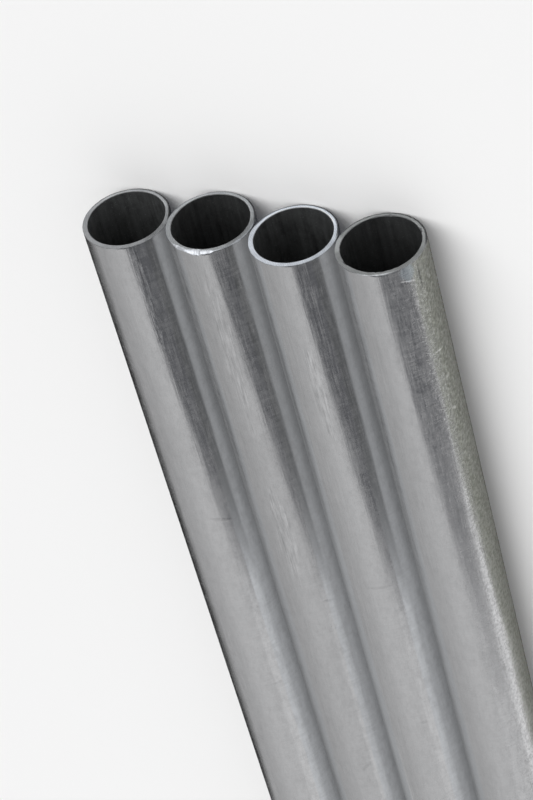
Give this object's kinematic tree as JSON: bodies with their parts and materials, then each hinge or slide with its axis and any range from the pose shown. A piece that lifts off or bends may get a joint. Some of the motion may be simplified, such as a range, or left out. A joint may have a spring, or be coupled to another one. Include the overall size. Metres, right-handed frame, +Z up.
{
  "type": "row of round aluminium tubes",
  "caption": "Straight round thin-walled aluminium tubes with sawn open ends, laid side by side in a flat row as raw stock.",
  "frame": {"origin": "centre of the row's footprint, on the level surface that the tubes lie on", "axes": "+Y along the tubes, with the staggered near ends towards -Y; +X across the row, towards tube_1; +Z up"},
  "size_m": [0.1038, 1.0054, 0.025],
  "materials": {
    "aluminium_tube": "mill finish, drawn lengthways, satin, with fine scratches and light oxide clouding"
  },
  "bodies": {
    "root": {"tube_1": "aluminium_tube", "tube_2": "aluminium_tube", "tube_3": "aluminium_tube", "tube_4": "aluminium_tube"}
  },
  "joints": []
}
